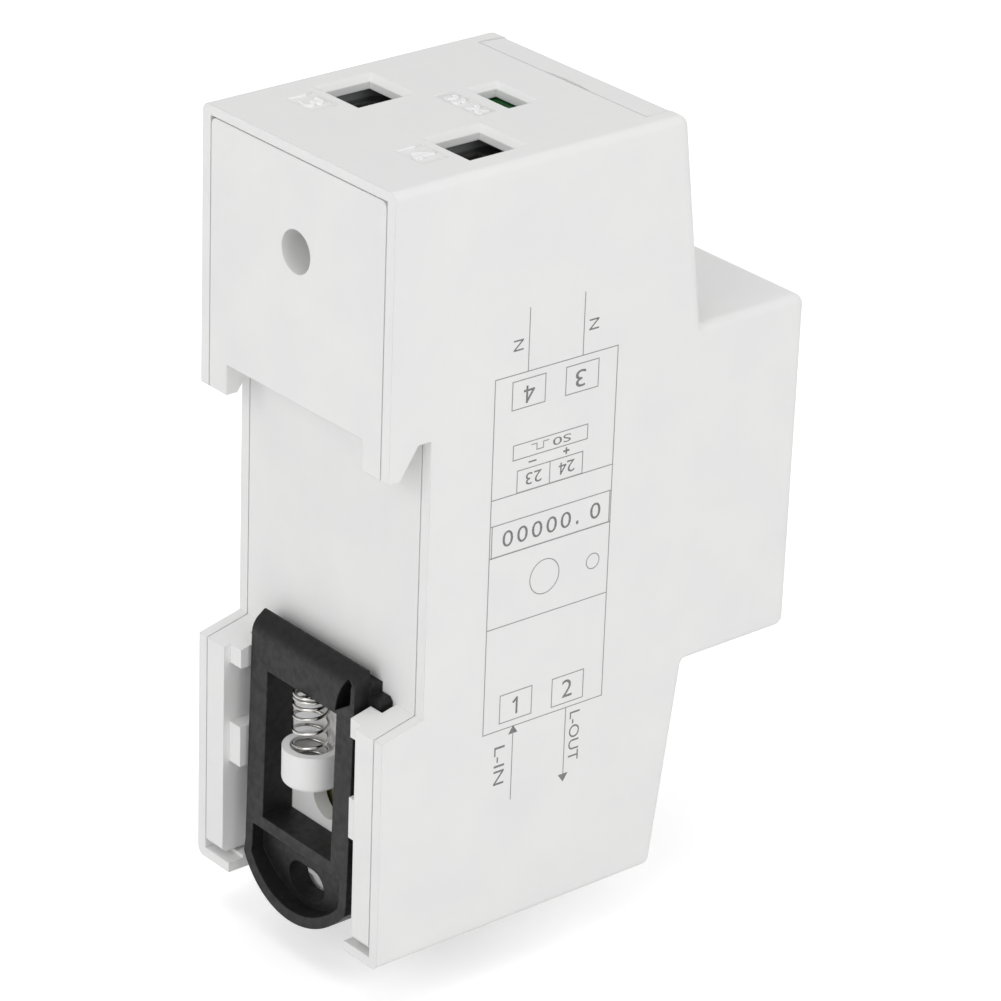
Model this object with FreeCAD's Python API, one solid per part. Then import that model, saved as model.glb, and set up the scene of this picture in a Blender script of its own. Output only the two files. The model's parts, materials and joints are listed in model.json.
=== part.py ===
import FreeCAD, Part
import math
import os

os.makedirs("parts", exist_ok=True)

# Frame: X across the width, Y towards the rail, Z up. Y = 0 is the face that lies on the rail.
# Z = 0 is half way up the housing. All lengths are in millimetres.

# Housing, seen from the side
width = 36.0
height = 100.0
rear_y = 6.1
shoulder_end_y = -37.6
shoulder_nose_y = -41.4
nose_front_y = -58.3
nose_height = 45.0
wall = 1.5
end_wall = 1.7
rim = 1.3
corner_radius = 1.3
edge_radius = 1.1
nose_root_radius = 0.5

# Rail channel and its fixed hook
channel_top = 18.3
channel_bottom_in = -17.8
channel_bottom_out = -19.2
hook_root_gap = 1.9
hook_tip_width = 1.6
hook_tip_z = 14.4

# Rear base
seam = 0.15
panel_thickness = 2.2
floor_thickness = 2.0
ceiling_wall = 1.8
tooth_width = 3.4
cheek_width = 3.4
cheek_foot_gap = 2.2
cheek_foot_radius = 0.8
lug_reach = 2.15
lug_inset = 0.95
lug_depth = 3.0
upper_lug_height = 2.9
lower_lug_drop = 11.8
lower_lug_height = 5.5
panel_corner_radius = 0.9
socket_from_end = 12.9
socket_radius = 2.7
socket_wall = 1.2
sight_hole_drop = 3.4
sight_hole_radius = 2.65
barrel_radius = 3.7
barrel_bore = 2.7
barrel_y = 2.4
barrel_height = 4.9
barrel_floor = 1.0
barrel_foot_radius = 0.8
board_post_radius = 2.0
board_post_inset = 3.35
board_post_from_end = 4.5

# How far a cut runs past a face, and how deep a joined piece is sunk in
overrun = 0.5
sunk = 0.2

# Sliding rail catch
catch_gap = 0.1
catch_side_gap = 0.7
catch_reach = 4.25
catch_lip_y = 1.8
catch_lip_height = 2.25
catch_back_top_y = 4.05
catch_back_top_drop = 1.65
catch_back_mid_y = 4.15
catch_back_foot_y = 5.8
catch_crown_radius = 2.5
catch_flare_y = 4.7
catch_flare_height = 6.5
catch_flare_radius = 4.0
bar_height = 6.9
flange_side_gap = 0.6
flange_thickness = 1.8
flange_step = 1.3
flange_step_width = 0.25
flange_chamfer = 0.5
flange_foot_rise = 7.5
frame_rail_width = 3.3
window_foot_rise = 9.55
tongue_reach = 1.5
tongue_radius = 12.7
pan_rim = 1.4
pan_depth = 2.9
cross_rail_height = 1.65
pull_slot_width = 7.0
pull_slot_height = 4.5
pull_slot_rise = 2.9
end_pocket_wall = 0.75
end_pocket_top_width = 0.85
end_pocket_foot_width = 2.9
end_pocket_foot_wall = 0.35
end_pocket_foot_slant = 1.9
end_pocket_bow = 0.4
end_pocket_floor_y = 2.0
catch_slot_clearance = 1.5

# Catch spring
spring_radius = 2.15
spring_wire = 0.42
spring_turns = 7.5
spring_sides = 6
spring_end_gap = 0.05

# Terminals
cage_side_gap = 1.7
terminal_from_end = 8.0
wire_y = -11.6
entry_size = 7.1
entry_chamfer = 0.8
cage_opening = 7.0
cage_width = 9.2
cage_length = 9.6
cage_rear_wall = 1.2
cage_nut_wall = 2.0
clamp_travel = 4.4
clamp_screw_radius = 2.5
clamp_head_radius = 3.0
clamp_head_height = 3.0
tongue_thickness = 1.5
tongue_width = 6.4
tongue_seat_gap = 0.15
screw_clearance = 0.05
screw_run_out = 2.0
pulse_x = -0.2
pulse_pitch = 3.5
pulse_from_end = 6.4
pulse_wire_y = -24.0
pulse_entry_width = 6.6
pulse_entry_depth = 3.5
pulse_entry_chamfer = 0.7
pulse_cage_opening_x = 2.2
pulse_cage_opening_y = 2.8
pulse_cage_width = 2.9
pulse_cage_length = 4.0
pulse_cage_rear_wall = 0.4
pulse_cage_nut_wall = 0.9
pulse_travel = 1.2
pulse_screw_radius = 1.0
pulse_head_radius = 1.4
pulse_head_height = 1.4
pulse_tongue_thickness = 0.5
pulse_tongue_width = 1.9
pulse_block_wall = 1.2
pulse_block_side_wall = 0.4
pulse_block_depth = 5.0
pulse_block_gap = 0.1

# Front terminal covers
cover_inset = 2.7
cover_thickness = 1.6
cover_lip_y = -33.1
cover_lip_drop = 0.3
cover_gap = 0.1
cover_corner_radius = 0.9
access_radius = 2.75
pulse_access_radius = 1.45
notch_width = 8.7
notch_depth = 0.45
notch_x = -1.1
notch_cut = 0.6

# Number plates moulded into the top and bottom
plate_sink = 0.25
plate_length = 5.0
plate_width = 3.9
plate_y = -4.1
plate_shift = 0.4
pulse_plate_length = 7.8
pulse_plate_width = 2.8
pulse_plate_y = -18.4

# Front face
display_inset = 2.4
display_from_root = 9.0
display_height = 10.8
window_thickness = 1.1
window_gap = 0.08
window_ledge = 0.8
tray_inset = 1.0
tray_wall = 1.0
tray_gap = 0.3
tray_depth = 2.2
glass_gap = 0.1
button_x = -1.1
front_row_rise = 13.0
button_radius = 4.5
button_gap = 0.15
button_proud = 0.6
button_flange = 0.8
button_travel = 0.6
button_stem_length = 1.0
button_stem_radius = 1.5
switch_size = 6.0
pulse_lamp_inset = 4.7
lamp_radius = 1.9
lamp_size = 3.2
lamp_height = 1.2

# Boards
board_thickness = 1.6
board_side_gap = 0.5
board_end_gap = 0.8
main_board_y = -4.4
display_board_setback = 7.9
display_board_gap = 0.7
link_board_inset = 4.5
link_board_bar_gap = 2.0
display_post_radius = 2.0
display_post_inset = 2.9
display_post_from_root = 4.7

# Inner terminal carriers
carrier_depth = 8.0
carrier_front_y = -34.0
carrier_gap = 0.2
crossbar_offset = 6.0
crossbar_width = 4.5
shunt_step = 3.0
shunt_recess = 0.2
leg_end_gap = 0.5

# Pieces on the boards
capacitor_length = 18.0
capacitor_height = 15.0
capacitor_depth = 8.5
capacitor_foot_z = 10.0
can_radius = 4.5
can_height = 16.0
can_inset = 6.5
parts_row_z = -1.0
varistor_radius = 5.5
varistor_thickness = 4.5
varistor_foot_z = -15.5
choke_radius = 4.2
choke_neck_radius = 3.4
choke_height = 9.0
choke_rim = 1.5
choke_gap = 6.0
chip_size = 8.0
chip_height = 1.4
chip_gap = 5.5
chip_z = -16.0
processor_size = 10.0
processor_y = -29.0
crystal_width = 3.5
crystal_height = 3.5
crystal_y = -20.25
coupler_width = 6.4
coupler_length = 4.6
coupler_height = 3.6
coupler_bar_gap = 7.0
coupler_gap = 3.7

half_width = width / 2
half_height = height / 2
half_nose = nose_height / 2
inner_half_width = half_width - wall
base_half_width = inner_half_width - seam
rebate_y = rear_y - panel_thickness
cheek_inner_x = base_half_width - cheek_width
cheek_foot_z = cheek_foot_gap - half_height
lower_lug_top_z = channel_bottom_in - lower_lug_drop
socket_z = half_height - socket_from_end
board_post_x = base_half_width - board_post_inset
board_post_z = half_height - board_post_from_end
catch_front_y = catch_gap
flange_back_y = catch_front_y + flange_thickness
catch_half_width = cheek_inner_x - lug_reach - catch_side_gap
catch_top_z = channel_bottom_in + catch_reach
throat_z = catch_top_z - catch_lip_height
window_top_z = catch_top_z - bar_height
window_foot_z = window_foot_rise - half_height
window_half_width = catch_half_width - frame_rail_width
flange_half_width = cheek_inner_x - flange_side_gap
tongue_tip_z = -half_height - tongue_reach
catch_slot_half_width = catch_half_width + catch_slot_clearance
barrel_foot_z = (window_top_z + window_foot_z - barrel_height) / 2 - 0.1
barrel_top_z = barrel_foot_z + barrel_height
sight_hole_z = barrel_foot_z - sight_hole_drop
cover_half_width = half_width - cover_inset
display_half_width = half_width - display_inset
display_top_z = half_nose - display_from_root
display_foot_z = display_top_z - display_height
front_row_z = front_row_rise - half_nose
pulse_lamp_x = half_width - pulse_lamp_inset
board_back_y = main_board_y + board_thickness
display_board_y = nose_front_y + display_board_setback
board_half_width = inner_half_width - board_side_gap
main_board_half_height = half_height - end_wall - board_end_gap
display_board_half_height = half_nose - wall - display_board_gap
display_board_front_y = display_board_y - board_thickness
link_board_x = inner_half_width - link_board_inset
display_post_x = inner_half_width - display_post_inset
display_post_z = half_nose - display_post_from_root
terminal_x = inner_half_width - cage_width / 2 - cage_side_gap
terminal_z = half_height - terminal_from_end
pulse_z = half_height - pulse_from_end
carrier_root_z = terminal_z - carrier_depth
crossbar_z = carrier_root_z - crossbar_offset
link_board_half_height = min(display_board_half_height, crossbar_z - link_board_bar_gap)
shunt_half_length = terminal_x - tongue_width / 2 - shunt_step
coupler_foot_z = crossbar_z - coupler_bar_gap
can_x = can_inset - board_half_width
choke_x = link_board_x - choke_gap
chip_x = link_board_x - chip_gap
tray_front_y = nose_front_y + wall + tray_gap


def block(x0, x1, y0, y1, z0, z1):
    """A box given by its low and high corners."""
    corner = FreeCAD.Vector(min(x0, x1), min(y0, y1), min(z0, z1))
    return Part.makeBox(abs(x1 - x0), abs(y1 - y0), abs(z1 - z0), corner)


def rod_y(x, z, radius, y0, y1):
    """A cylinder along Y."""
    start = FreeCAD.Vector(x, min(y0, y1), z)
    return Part.makeCylinder(radius, abs(y1 - y0), start, FreeCAD.Vector(0, 1, 0))


def rod_z(x, y, radius, z0, z1):
    """A cylinder along Z."""
    start = FreeCAD.Vector(x, y, min(z0, z1))
    return Part.makeCylinder(radius, abs(z1 - z0), start, FreeCAD.Vector(0, 0, 1))


def rounded_wire(corners):
    """A closed outline in the YZ plane; each corner is (y, z, radius)."""
    count = len(corners)
    spans = []
    for i in range(count):
        y, z, radius = corners[i]
        here = FreeCAD.Vector(0, y, z)
        before = FreeCAD.Vector(0, corners[i - 1][0], corners[i - 1][1])
        after = FreeCAD.Vector(0, corners[(i + 1) % count][0], corners[(i + 1) % count][1])
        if radius <= 0:
            spans.append((here, here, None))
            continue
        to_before = (before - here).normalize()
        to_after = (after - here).normalize()
        half_angle = to_before.getAngle(to_after) / 2
        setback = radius / math.tan(half_angle)
        middle = (to_before + to_after).normalize()
        crown = here + middle * (radius / math.sin(half_angle) - radius)
        spans.append((here + to_before * setback, here + to_after * setback, crown))
    edges = []
    for i in range(count):
        start, end, crown = spans[i]
        if crown is not None:
            edges.append(Part.Arc(start, crown, end).toShape())
        following = spans[(i + 1) % count][0]
        if (following - end).Length > 0.001:
            edges.append(Part.LineSegment(end, following).toShape())
    return Part.Wire(edges)


def prism(corners, x0, x1):
    """The outline swept across the width from x0 to x1."""
    face = Part.Face(rounded_wire(corners))
    face.translate(FreeCAD.Vector(x0, 0, 0))
    return face.extrude(FreeCAD.Vector(x1 - x0, 0, 0))


def flip_z(shape):
    """The same shape reflected to the other end of the housing."""
    return shape.mirror(FreeCAD.Vector(0, 0, 0), FreeCAD.Vector(0, 0, 1))


def save(name, shape):
    """Write one sub-part."""
    shape.exportStep("parts/" + name + ".step")


def shell_outline():
    """Side view of the housing, with the rail channel and its hook."""
    r = corner_radius
    hook_slant_y = rear_y - hook_tip_width
    return [
        (rear_y, half_height, 0),
        (shoulder_end_y, half_height, r),
        (shoulder_nose_y, half_nose, nose_root_radius),
        (nose_front_y, half_nose, r),
        (nose_front_y, -half_nose, r),
        (shoulder_nose_y, -half_nose, nose_root_radius),
        (shoulder_end_y, -half_height, r),
        (rear_y, -half_height, 0),
        (rear_y, channel_bottom_out, 0),
        (0, channel_bottom_in, 0),
        (0, channel_top, 0),
        (hook_root_gap, channel_top, 0),
        (hook_slant_y, hook_tip_z, 0),
        (rear_y, hook_tip_z, 0),
    ]


def round_side_edges(solid):
    """Round the long outer edges of both side walls, but not the rear rim."""
    picked = []
    for edge in solid.Edges:
        box = edge.BoundBox
        on_side = abs(abs(box.XMin) - half_width) < 0.001 and box.XLength < 0.001
        at_rear = box.YMin > -0.01
        if on_side and not at_rear:
            picked.append(edge)
    return solid.makeFillet(edge_radius, picked)


def shell_cavity():
    """The hollow inside the housing, open to the rear and, behind the covers, to the front."""
    inner_end = half_height - end_wall
    inner_nose = half_nose - wall
    back = rear_y + 1
    slope = (shoulder_end_y - shoulder_nose_y) / (inner_end - half_nose)
    front_end_y = shoulder_end_y + cover_thickness - cover_gap
    front_nose_y = shoulder_nose_y + cover_thickness - cover_gap - wall * slope
    corners = [
        (back, inner_end, 0),
        (front_end_y, inner_end, 0),
        (front_nose_y, inner_nose, 0),
        (nose_front_y + wall, inner_nose, 0),
        (nose_front_y + wall, -inner_nose, 0),
        (front_nose_y, -inner_nose, 0),
        (front_end_y, -inner_end, 0),
        (back, -inner_end, 0),
    ]
    hollow = prism(corners, -inner_half_width, inner_half_width)
    rebate = block(-inner_half_width, inner_half_width, rebate_y, back, rim - half_height, half_height - rim)
    return hollow.fuse(rebate)


def cover_recess():
    """The space at one shoulder that the front terminal cover fills."""
    above = half_height + 2
    corners = [
        (cover_lip_y + cover_gap, above, 0),
        (cover_lip_y + cover_gap, half_height - end_wall, 0),
        (shoulder_end_y + cover_thickness, half_height - end_wall, 0),
        (shoulder_nose_y + cover_thickness, half_nose, 0),
        (shoulder_nose_y - 2, half_nose, 0),
        (shoulder_nose_y - 2, above, 0),
    ]
    side = cover_half_width + cover_gap
    return prism(corners, -side, side)


def funnel(x, y, size_x, size_y, chamfer):
    """A square wire entry through the top wall with a sloping mouth."""
    depth = end_wall + 1
    shaft = block(x - size_x / 2, x + size_x / 2, y - size_y / 2, y + size_y / 2,
                  half_height - depth, half_height + 1)
    reach = 0.5
    wires = []
    for level, grow in ((half_height - chamfer, 0.0), (half_height + reach, chamfer + reach)):
        half_x = size_x / 2 + grow
        half_y = size_y / 2 + grow
        points = [
            FreeCAD.Vector(x - half_x, y - half_y, level),
            FreeCAD.Vector(x + half_x, y - half_y, level),
            FreeCAD.Vector(x + half_x, y + half_y, level),
            FreeCAD.Vector(x - half_x, y + half_y, level),
        ]
        wires.append(Part.makePolygon(points + points[:1]))
    mouth = Part.makeLoft(wires, True, True)
    return shaft.fuse(mouth)


def main_entries():
    """Both large wire entries of one end."""
    near = funnel(-terminal_x, wire_y, entry_size, entry_size, entry_chamfer)
    far = funnel(terminal_x, wire_y, entry_size, entry_size, entry_chamfer)
    return near.fuse(far)


def number_plates():
    """Shallow sunk plates beside the large entries of one end."""
    plates = []
    for side in (-1, 1):
        x = side * terminal_x + plate_shift
        plates.append(block(x - plate_length / 2, x + plate_length / 2,
                            plate_y - plate_width / 2, plate_y + plate_width / 2,
                            half_height - plate_sink, half_height + 1))
    return plates[0].fuse(plates[1])


def pulse_plate():
    """The sunk plate beside the small entry."""
    return block(pulse_x - pulse_plate_length / 2, pulse_x + pulse_plate_length / 2,
                 pulse_plate_y - pulse_plate_width / 2, pulse_plate_y + pulse_plate_width / 2,
                 half_height - plate_sink, half_height + 1)


def display_cut():
    """The display opening with the ledge that carries its window."""
    ledge_y = nose_front_y + window_thickness
    seat = block(-display_half_width, display_half_width, nose_front_y - 1, ledge_y,
                 display_foot_z, display_top_z)
    through = block(-display_half_width + window_ledge, display_half_width - window_ledge,
                    nose_front_y - 1, nose_front_y + wall + 1,
                    display_foot_z + window_ledge, display_top_z - window_ledge)
    return seat.fuse(through)


def display_posts():
    """Posts behind the nose face that carry the display board."""
    posts = []
    front_y = nose_front_y + wall - sunk
    for side in (-1, 1):
        for end in (-1, 1):
            posts.append(rod_y(side * display_post_x, end * display_post_z, display_post_radius,
                               front_y, display_board_front_y))
    return posts


def housing_shell():
    """The white outer moulding."""
    solid = round_side_edges(prism(shell_outline(), -half_width, half_width))
    solid = solid.cut(shell_cavity())
    solid = solid.cut(cover_recess())
    solid = solid.cut(flip_z(cover_recess()))
    solid = solid.cut(main_entries())
    solid = solid.cut(flip_z(main_entries()))
    solid = solid.cut(funnel(pulse_x, pulse_wire_y, pulse_entry_width, pulse_entry_depth,
                             pulse_entry_chamfer))
    solid = solid.cut(number_plates())
    solid = solid.cut(flip_z(number_plates()))
    solid = solid.cut(pulse_plate())
    catch_slot = block(-catch_slot_half_width, catch_slot_half_width, -0.6, rear_y + 1,
                       -half_height - 1, rim - half_height + 0.6)
    solid = solid.cut(catch_slot)
    solid = solid.cut(display_cut())
    solid = solid.cut(rod_y(button_x, front_row_z, button_radius, nose_front_y - 1, nose_front_y + wall + 1))
    solid = solid.cut(rod_y(pulse_lamp_x, front_row_z, lamp_radius + seam,
                            nose_front_y - 1, nose_front_y + wall + 1))
    for post in display_posts():
        solid = solid.fuse(post)
    return solid.removeSplitter()


def base_hooks():
    """The two hook teeth of the base, beside the housing's own."""
    hook_slant_y = rear_y - hook_tip_width
    corners = [
        (hook_root_gap, channel_top + overrun, 0),
        (hook_root_gap, channel_top, 0),
        (hook_slant_y, hook_tip_z, 0),
        (rear_y, hook_tip_z, 0),
        (rear_y, channel_top + overrun, 0),
    ]
    inner = base_half_width - tooth_width
    return [prism(corners, -base_half_width, -inner), prism(corners, inner, base_half_width)]


def base_cheeks():
    """The two walls beside the catch, with rounded feet and a sloping top."""
    corners = [
        (-floor_thickness, channel_bottom_in, 0),
        (0, channel_bottom_in, 0),
        (rear_y, channel_bottom_out, 0),
        (rear_y, cheek_foot_z, cheek_foot_radius),
        (-floor_thickness, cheek_foot_z, 0),
    ]
    left = prism(corners, -base_half_width, -cheek_inner_x)
    right = prism(corners, cheek_inner_x, base_half_width)
    return [left, right]


def base_lugs():
    """Four lugs that hold the catch's flanges down."""
    back = rear_y - lug_inset
    front = back - lug_depth
    slope = (channel_bottom_in - channel_bottom_out) / rear_y
    upper = [
        (front, channel_bottom_in - slope * front, 0),
        (back, channel_bottom_in - slope * back, 0),
        (back, channel_bottom_out - upper_lug_height + 0.6, 0),
        (front, channel_bottom_out - upper_lug_height + 0.6, 0),
    ]
    lower_foot = lower_lug_top_z - lower_lug_height
    lower = [
        (front, lower_lug_top_z, 0),
        (back, lower_lug_top_z, 0),
        (back, lower_foot, 0),
        (front, lower_foot, 0),
    ]
    inner = cheek_inner_x - lug_reach
    outer = cheek_inner_x + overrun
    lugs = []
    for corners in (upper, lower):
        lugs.append(prism(corners, -outer, -inner))
        lugs.append(prism(corners, inner, outer))
    return lugs


def spring_barrel():
    """The open barrel that holds the foot of the catch spring."""
    tube = rod_z(0, barrel_y, barrel_radius, barrel_foot_z, barrel_top_z)
    foot_edges = []
    for edge in tube.Edges:
        if abs(edge.BoundBox.ZMax - barrel_foot_z) < 0.001:
            foot_edges.append(edge)
    tube = tube.makeFillet(barrel_foot_radius, foot_edges)
    return tube


def rear_panel(side, top):
    """The plate that closes the housing above the channel, with its two upper corners rounded."""
    plate = block(-side, side, rebate_y, rear_y, channel_top, top)
    corners = []
    for edge in plate.Edges:
        box = edge.BoundBox
        if box.ZMin > top - 0.001 and box.XLength < 0.001:
            corners.append(edge)
    return plate.makeFillet(panel_corner_radius, corners)


def rear_base():
    """The white inset moulding with the rail channel."""
    top = half_height - rim - seam
    foot = rim + overrun - half_height
    side = base_half_width
    solid = rear_panel(side, top)
    ceiling = block(-side, side, -floor_thickness, rear_y, channel_top, channel_top + ceiling_wall)
    plate = block(-side, side, -floor_thickness, 0, foot, channel_top + overrun)
    solid = solid.fuse([ceiling, plate] + base_hooks() + base_cheeks() + base_lugs())
    sleeve = rod_y(0, socket_z, socket_radius + socket_wall, -floor_thickness, rebate_y + overrun)
    solid = solid.fuse([sleeve, spring_barrel()])
    solid = solid.cut(rod_y(0, socket_z, socket_radius, -floor_thickness - 1, rear_y + 1))
    bore_and_groove = rod_z(0, barrel_y, barrel_bore, barrel_foot_z + barrel_floor, window_top_z)
    solid = solid.cut(bore_and_groove)
    solid = solid.cut(rod_y(0, sight_hole_z, sight_hole_radius, -floor_thickness - 1, 1))
    posts = []
    for x in (-board_post_x, board_post_x):
        posts.append(rod_y(x, -board_post_z, board_post_radius, -floor_thickness + sunk, board_back_y))
        posts.append(rod_y(x, board_post_z, board_post_radius, rebate_y + sunk, board_back_y))
    solid = solid.fuse(posts)
    return solid.removeSplitter()


def catch_profile():
    """Side view of the catch's raised frame."""
    return [
        (catch_front_y, tongue_tip_z - 1, 0),
        (catch_front_y, throat_z, 0),
        (catch_lip_y, throat_z, 0.4),
        (catch_lip_y, catch_top_z, 0.3),
        (catch_back_top_y, catch_top_z - catch_back_top_drop, catch_crown_radius),
        (catch_back_mid_y, window_top_z, 2.0),
        (catch_flare_y, tongue_tip_z + catch_flare_height, catch_flare_radius),
        (catch_back_foot_y, tongue_tip_z - 1, 0),
    ]


def tongue_trim(radius, y0, y1, widen):
    """A rounded end for the tongue: the disc below and a straight part above it."""
    centre_z = tongue_tip_z + tongue_radius
    disc = rod_y(0, centre_z, radius, y0, y1)
    upper = block(-widen, widen, y0, y1, centre_z - 0.001, 0)
    return disc.fuse(upper)


def catch_flange():
    """The stepped plate of the catch that slides under the lugs."""
    inner = block(-catch_half_width - flange_step_width, catch_half_width + flange_step_width,
                  catch_front_y, flange_back_y, flange_foot_z(), throat_z)
    outer = block(-flange_half_width, flange_half_width, catch_front_y, flange_back_y,
                  flange_foot_z(), throat_z - flange_step)
    corners = []
    for edge in outer.Edges:
        box = edge.BoundBox
        if box.XLength < 0.001 and box.ZLength < 0.001:
            corners.append(edge)
    return inner.fuse(outer.makeChamfer(flange_chamfer, corners))


def flange_foot_z():
    """The lower end of the catch's flange."""
    return flange_foot_rise - half_height


def end_pocket():
    """The recess that is cored into the bar at its left end."""
    side = catch_half_width - end_pocket_wall
    foot_z = window_top_z + end_pocket_foot_wall
    top = FreeCAD.Vector(-side + end_pocket_top_width, 0, catch_top_z - catch_back_top_drop)
    foot = FreeCAD.Vector(-side + end_pocket_foot_width, 0, foot_z)
    bow = FreeCAD.Vector(end_pocket_bow, 0, 0)
    corner_top = FreeCAD.Vector(-side, 0, top.z - end_pocket_bow)
    corner_foot = FreeCAD.Vector(-side, 0, foot_z + end_pocket_foot_slant)
    edges = [
        Part.Arc(top, (top + foot) * 0.5 + bow, foot).toShape(),
        Part.LineSegment(foot, corner_foot).toShape(),
        Part.LineSegment(corner_foot, corner_top).toShape(),
        Part.LineSegment(corner_top, top).toShape(),
    ]
    face = Part.Face(Part.Wire(edges))
    face.translate(FreeCAD.Vector(0, end_pocket_floor_y, 0))
    return face.extrude(FreeCAD.Vector(0, rear_y, 0))


def pull_pan():
    """The hollow in the tongue around its pull slot."""
    floor_y = catch_back_foot_y - pan_depth
    side = catch_half_width - pan_rim
    pan = tongue_trim(tongue_radius - pan_rim, floor_y, rear_y + 1, side)
    limit = block(-side, side, 0, rear_y + 2, tongue_tip_z, window_foot_z - cross_rail_height)
    return pan.common(limit)


def pull_slot():
    """The slot for a screwdriver tip that pulls the catch down."""
    radius = pull_slot_height / 2
    middle_z = pull_slot_rise - half_height
    side = pull_slot_width / 2 - radius
    slot = block(-side, side, -1, rear_y + 1, middle_z - radius, middle_z + radius)
    ends = [rod_y(-side, middle_z, radius, -1, rear_y + 1), rod_y(side, middle_z, radius, -1, rear_y + 1)]
    return slot.fuse(ends)


def din_clip():
    """The black sliding catch: frame, flanges, wedge bar, window, pan and tongue."""
    frame = prism(catch_profile(), -catch_half_width, catch_half_width)
    frame = frame.common(tongue_trim(tongue_radius, -1, rear_y + 1, catch_half_width + 1))
    solid = frame.fuse(catch_flange())
    opening = block(-window_half_width, window_half_width, -1, rear_y + 1, window_foot_z, window_top_z)
    solid = solid.cut([opening, pull_pan(), pull_slot(), end_pocket()])
    return solid.removeSplitter()


def clip_spring():
    """The coil spring from the barrel's floor to the underside of the wedge bar."""
    wire_radius = spring_wire / 2
    low = barrel_foot_z + barrel_floor + wire_radius + spring_end_gap
    high = window_top_z - wire_radius - spring_end_gap
    pitch = (high - low) / spring_turns
    helix = Part.makeHelix(pitch, high - low, spring_radius)
    corners = []
    for i in range(spring_sides):
        angle = 2 * math.pi * i / spring_sides
        corners.append(FreeCAD.Vector(spring_radius + wire_radius * math.cos(angle), 0,
                                      wire_radius * math.sin(angle)))
    section = Part.makePolygon(corners + corners[:1])
    coil = Part.Wire(helix).makePipeShell([section], True, True)
    coil.translate(FreeCAD.Vector(0, barrel_y, low))
    return coil


def terminal_cover(with_pulse):
    """A front terminal cover that wraps over the end of the housing."""
    clear = cover_gap
    corners = [
        (cover_lip_y, half_height, 0),
        (shoulder_end_y, half_height - cover_lip_drop, cover_corner_radius),
        (shoulder_nose_y, half_nose + clear, 0),
        (shoulder_nose_y + cover_thickness, half_nose + clear, 0),
        (shoulder_end_y + cover_thickness, half_height - end_wall, 0),
        (cover_lip_y, half_height - end_wall, 0),
    ]
    solid = prism(corners, -cover_half_width, cover_half_width)
    for side in (-1, 1):
        solid = solid.cut(rod_y(side * terminal_x, terminal_z, access_radius,
                                shoulder_nose_y - 1, cover_lip_y - overrun))
    if with_pulse:
        for side in (-1, 1):
            x = pulse_x + side * pulse_pitch / 2
            solid = solid.cut(rod_y(x, pulse_z, pulse_access_radius,
                                    shoulder_nose_y - 1, cover_lip_y - overrun))
    bow = (notch_width * notch_width / 4 + notch_depth * notch_depth) / (2 * notch_depth)
    nail = rod_z(notch_x, cover_lip_y + bow - notch_depth, bow, half_height - notch_cut, half_height + 1)
    return solid.cut(nail).removeSplitter()


class Clamp:
    """Sizes of one rising cage clamp; the wire runs along Z and the screw along Y."""

    def __init__(self, middle_y, z, opening_x, opening_y, width_x, length_z):
        self.z = z
        self.inner_x = opening_x
        self.cage_x = width_x
        self.cage_z = length_z
        self.rear_in = middle_y + opening_y / 2
        self.front_in = middle_y - opening_y / 2

    def set_walls(self, rear_wall, nut_wall, travel):
        """The cage's two thick walls and how far it rises."""
        self.rear_out = self.rear_in + rear_wall
        self.front_out = self.front_in - nut_wall
        self.travel = travel

    def set_screw(self, radius, head_radius, head_height, run_out):
        """The screw, whose head stands clear of the raised cage."""
        self.screw_radius = radius
        self.head_radius = head_radius
        self.head_y = self.front_out - self.travel - run_out
        self.head_front = self.head_y - head_height

    def set_tongue(self, thickness, tongue_width_x):
        """The flat contact that the wire is pressed against."""
        self.tongue_front = self.front_in + tongue_seat_gap
        self.tongue_back = self.tongue_front + thickness
        self.tongue_width = tongue_width_x


main_clamp = Clamp(wire_y, terminal_z, cage_opening, cage_opening, cage_width, cage_length)
main_clamp.set_walls(cage_rear_wall, cage_nut_wall, clamp_travel)
main_clamp.set_screw(clamp_screw_radius, clamp_head_radius, clamp_head_height, screw_run_out)
main_clamp.set_tongue(tongue_thickness, tongue_width)
pulse_clamp = Clamp(pulse_wire_y, pulse_z, pulse_cage_opening_x, pulse_cage_opening_y,
                    pulse_cage_width, pulse_cage_length)
pulse_clamp.set_walls(pulse_cage_rear_wall, pulse_cage_nut_wall, pulse_travel)
pulse_clamp.set_screw(pulse_screw_radius, pulse_head_radius, pulse_head_height, screw_run_out)
pulse_clamp.set_tongue(pulse_tongue_thickness, pulse_tongue_width)


def clamp_cage(clamp, x):
    """The folded cage with its threaded front wall."""
    outer = block(x - clamp.cage_x / 2, x + clamp.cage_x / 2, clamp.front_out, clamp.rear_out,
                  clamp.z - clamp.cage_z / 2, clamp.z + clamp.cage_z / 2)
    upright = []
    for edge in outer.Edges:
        if edge.BoundBox.ZLength > clamp.cage_z - 0.01:
            upright.append(edge)
    outer = outer.makeFillet((clamp.cage_x - clamp.inner_x) * 0.3, upright)
    inner = block(x - clamp.inner_x / 2, x + clamp.inner_x / 2, clamp.front_in, clamp.rear_in,
                  clamp.z - clamp.cage_z, clamp.z + clamp.cage_z)
    hole = rod_y(x, clamp.z, clamp.screw_radius, clamp.front_out - 1, clamp.front_in + 1)
    return outer.cut(inner).cut(hole)


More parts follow.
